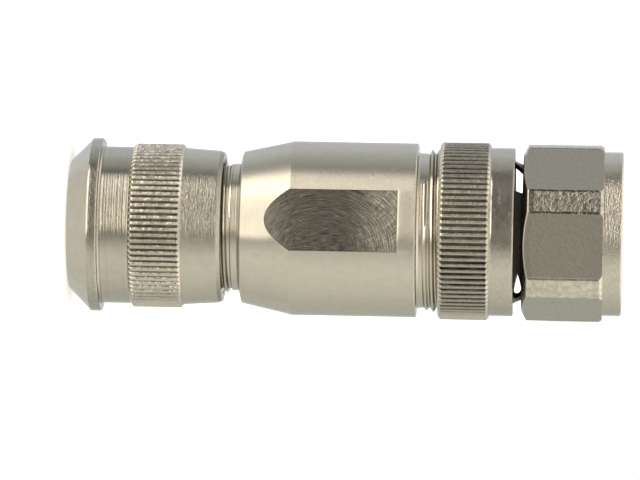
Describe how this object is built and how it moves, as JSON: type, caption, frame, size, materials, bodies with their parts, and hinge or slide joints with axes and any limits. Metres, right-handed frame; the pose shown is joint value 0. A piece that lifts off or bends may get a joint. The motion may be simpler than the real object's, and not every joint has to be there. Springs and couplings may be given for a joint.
{
  "type": "circular sensor connector",
  "caption": "Straight nickel-plated circular cable connector: knurled clamp cap, flatted housing, knurled front shell and a free hexagonal coupling nut around a black socket insert.",
  "frame": {"origin": "centre of the clamp cap's flat end face, on which the connector stands", "axes": "+Z along the connector's axis from the cable end to the mating end; the spanner flats face +Y and -Y"},
  "size_m": [0.0196, 0.0196, 0.0609],
  "materials": {
    "nickel": "bright nickel plating over turned and milled brass",
    "black_plastic": "moulded black",
    "black_rubber": "moulded",
    "ivory_plastic": "natural moulded",
    "tinned_brass": "tin plated",
    "clip_steel": "spring steel strip",
    "gold_contact": "gold plated"
  },
  "bodies": {
    "housing": {"housing": "nickel", "shield_ring": "tinned_brass", "shield_bush": "tinned_brass"},
    "cable_clamp": {"slip_washer": "ivory_plastic", "clamp_basket": "black_plastic", "gland_seal": "black_rubber"},
    "clamp_cap": {"clamp_cap": "nickel"},
    "insert": {"insert_holder": "black_plastic", "contact_insert": "black_plastic", "contact_retainer": "black_plastic", "contact_1": "gold_contact", "contact_2": "gold_contact", "contact_3": "gold_contact", "contact_4": "gold_contact", "contact_5": "gold_contact", "insert_seal": "black_rubber", "insert_clip": "clip_steel", "mating_seal": "black_rubber"},
    "front_shell": {"front_shell": "nickel"},
    "retaining_cage": {"retaining_cage": "black_plastic"},
    "coupling_nut": {"coupling_nut": "nickel"}
  },
  "joints": [
    {"name": "cap_travel", "type": "slide", "parent": "housing", "child": "cable_clamp", "axis": [0, 0, 1], "range_m": [-0.0068, 0.00151]},
    {"name": "cap_turn", "type": "hinge", "parent": "cable_clamp", "child": "clamp_cap", "pos_m": [0, 0, 0], "axis": [0, 0, 1], "range_deg": [-3240, 720]},
    {"name": "shell_travel", "type": "slide", "parent": "housing", "child": "insert", "axis": [0, 0, 1], "range_m": [-0.00226, 0.00151]},
    {"name": "shell_turn", "type": "hinge", "parent": "insert", "child": "front_shell", "pos_m": [0, 0, 0], "axis": [0, 0, 1], "range_deg": [-1080, 720]},
    {"name": "nut_play", "type": "slide", "parent": "front_shell", "child": "retaining_cage", "axis": [0, 0, 1], "range_m": [-0.00086, 0]},
    {"name": "nut_spin", "type": "hinge", "parent": "retaining_cage", "child": "coupling_nut", "pos_m": [0, 0, 0], "axis": [0, 0, 1], "continuous": true}
  ],
  "couplings": [
    {"joint": "cap_travel", "follows": "cap_turn", "m_per_rad": 0.00011937},
    {"joint": "shell_travel", "follows": "shell_turn", "m_per_rad": 0.00011937}
  ]
}
